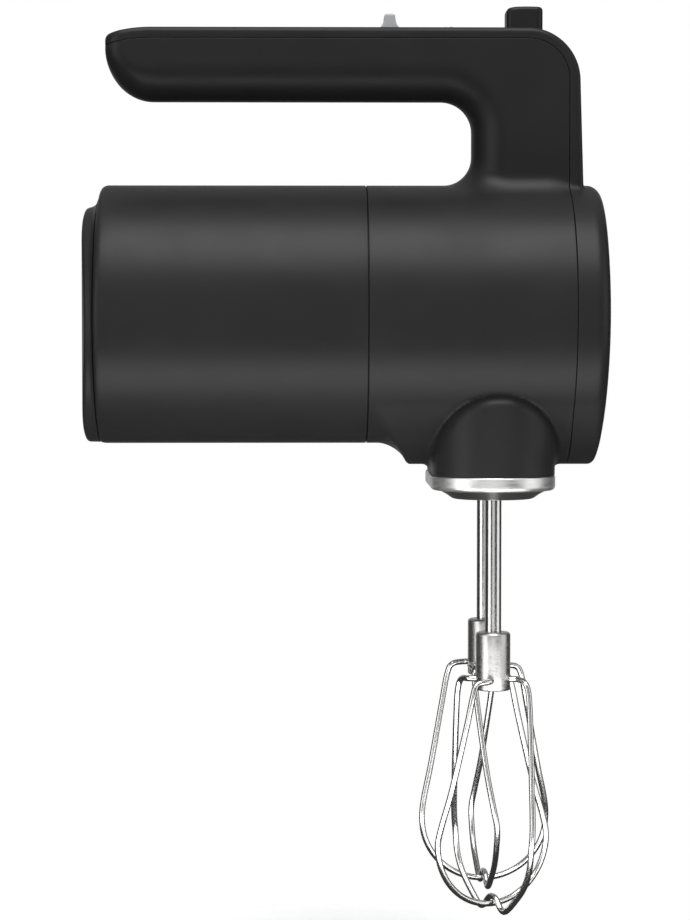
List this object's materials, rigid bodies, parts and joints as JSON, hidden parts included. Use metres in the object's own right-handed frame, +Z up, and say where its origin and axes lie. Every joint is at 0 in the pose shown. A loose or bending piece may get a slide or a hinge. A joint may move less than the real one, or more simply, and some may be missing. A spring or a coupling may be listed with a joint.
{
  "type": "hand mixer",
  "caption": "Cordless hand mixer: round motor barrel, open-ended handle above it, speed slider, eject button and intermeshing wire beaters.",
  "frame": {"origin": "middle of the flat heel at the rear of the battery pack, on the motor axis", "axes": "+X from the heel towards the front of the mixer along the motor axis, +Z up towards the handle, so that the beaters hang along -Z; +Y to the mixer's left"},
  "size_m": [0.204, 0.102, 0.3519],
  "materials": {
    "black_body": "fine matte texture",
    "black_cover": "fine matte texture",
    "black_button": "satin",
    "black_inner": "matt",
    "grey_slider": "satin",
    "silver_trim": "satin silver",
    "silver_plate": "satin silver",
    "beater_chrome": "polished",
    "beater_collar": "turned, polished",
    "bright_steel": "ground",
    "zinc_steel": "zinc plated",
    "cast_alloy": "die cast",
    "bronze": "sintered",
    "contact_brass": "bright",
    "copper": "enamelled wire and copper",
    "ferrite": "ground",
    "carbon": "matt",
    "gear_nylon": "satin",
    "circuit_board": "solder mask",
    "cell_wrap": "shrink wrap",
    "red_lead": "flexible insulation",
    "black_lead": "flexible insulation"
  },
  "bodies": {
    "housing": {"main_housing": "black_body", "top_cover": "black_cover", "rear_housing": "black_body", "trim_ring": "silver_trim", "socket_plate": "silver_plate", "gear_frame": "cast_alloy", "gear_bridge": "cast_alloy", "right_lower_bush": "bronze", "left_lower_bush": "bronze", "right_upper_bush": "bronze", "left_upper_bush": "bronze", "motor_can": "zinc_steel", "motor_end_cap": "black_inner", "motor_magnets": "ferrite", "carbon_brushes": "carbon", "motor_rear_bearing": "bright_steel", "motor_front_bearing": "bright_steel", "worm_end_bearing": "bright_steel", "control_board": "circuit_board", "battery_dock": "black_inner", "dock_contacts": "contact_brass", "battery_leads": "red_lead", "motor_leads": "black_lead", "eject_guide": "black_inner", "frame_screws": "zinc_steel", "bridge_screws": "zinc_steel", "motor_screws": "zinc_steel", "plate_screws": "zinc_steel"},
    "motor_rotor": {"motor_shaft": "bright_steel", "rotor_core": "zinc_steel", "rotor_windings": "copper", "commutator": "copper", "worm": "bright_steel"},
    "right_drive": {"right_worm_wheel": "gear_nylon", "right_spindle": "zinc_steel", "right_snap_ring": "bright_steel"},
    "left_drive": {"left_worm_wheel": "gear_nylon", "left_spindle": "zinc_steel", "left_snap_ring": "bright_steel"},
    "right_beater": {"right_beater_shaft": "beater_chrome", "right_beater_collar": "beater_collar", "right_outer_loop": "beater_chrome", "right_inner_loop": "beater_chrome"},
    "left_beater": {"left_beater_shaft": "beater_chrome", "left_beater_collar": "beater_collar", "left_outer_loop": "beater_chrome", "left_inner_loop": "beater_chrome"},
    "battery_pack": {"battery_cap": "black_cover", "battery_case": "black_inner", "battery_cells": "cell_wrap", "battery_board": "circuit_board", "battery_terminals": "contact_brass"},
    "speed_slider": {"slider_knob": "grey_slider", "slider_shutter": "black_inner", "slider_wiper": "contact_brass"},
    "eject": {"eject_button": "black_button", "eject_rod": "bright_steel", "eject_fork": "black_inner", "eject_spring": "bright_steel"}
  },
  "joints": [
    {"name": "motor_spin", "type": "hinge", "parent": "housing", "child": "motor_rotor", "pos_m": [0.12, 0, 0], "axis": [1, 0, 0], "continuous": true},
    {"name": "right_beater_spin", "type": "hinge", "parent": "housing", "child": "right_drive", "pos_m": [0.1584, -0.025, 0], "axis": [0, 0, 1], "continuous": true},
    {"name": "left_beater_spin", "type": "hinge", "parent": "housing", "child": "left_drive", "pos_m": [0.1584, 0.025, 0], "axis": [0, 0, 1], "continuous": true},
    {"name": "right_beater_pull", "type": "slide", "parent": "right_drive", "child": "right_beater", "axis": [0, 0, -1], "range_m": [0, 0.045]},
    {"name": "left_beater_pull", "type": "slide", "parent": "left_drive", "child": "left_beater", "axis": [0, 0, -1], "range_m": [0, 0.045]},
    {"name": "battery_pull", "type": "slide", "parent": "housing", "child": "battery_pack", "axis": [-1, 0, 0], "range_m": [0, 0.078]},
    {"name": "speed_slide", "type": "slide", "parent": "housing", "child": "speed_slider", "axis": [1, 0, 0], "range_m": [0, 0.02]},
    {"name": "eject_press", "type": "slide", "parent": "housing", "child": "eject", "axis": [0, 0, -1], "range_m": [0, 0.008], "stiffness_N_per_m": 400, "springref_m": -0.002, "deforming": ["eject_spring"]}
  ],
  "couplings": [
    {"joint": "motor_spin", "follows": "right_beater_spin", "ratio": 40},
    {"joint": "left_beater_spin", "follows": "right_beater_spin", "ratio": -1}
  ]
}
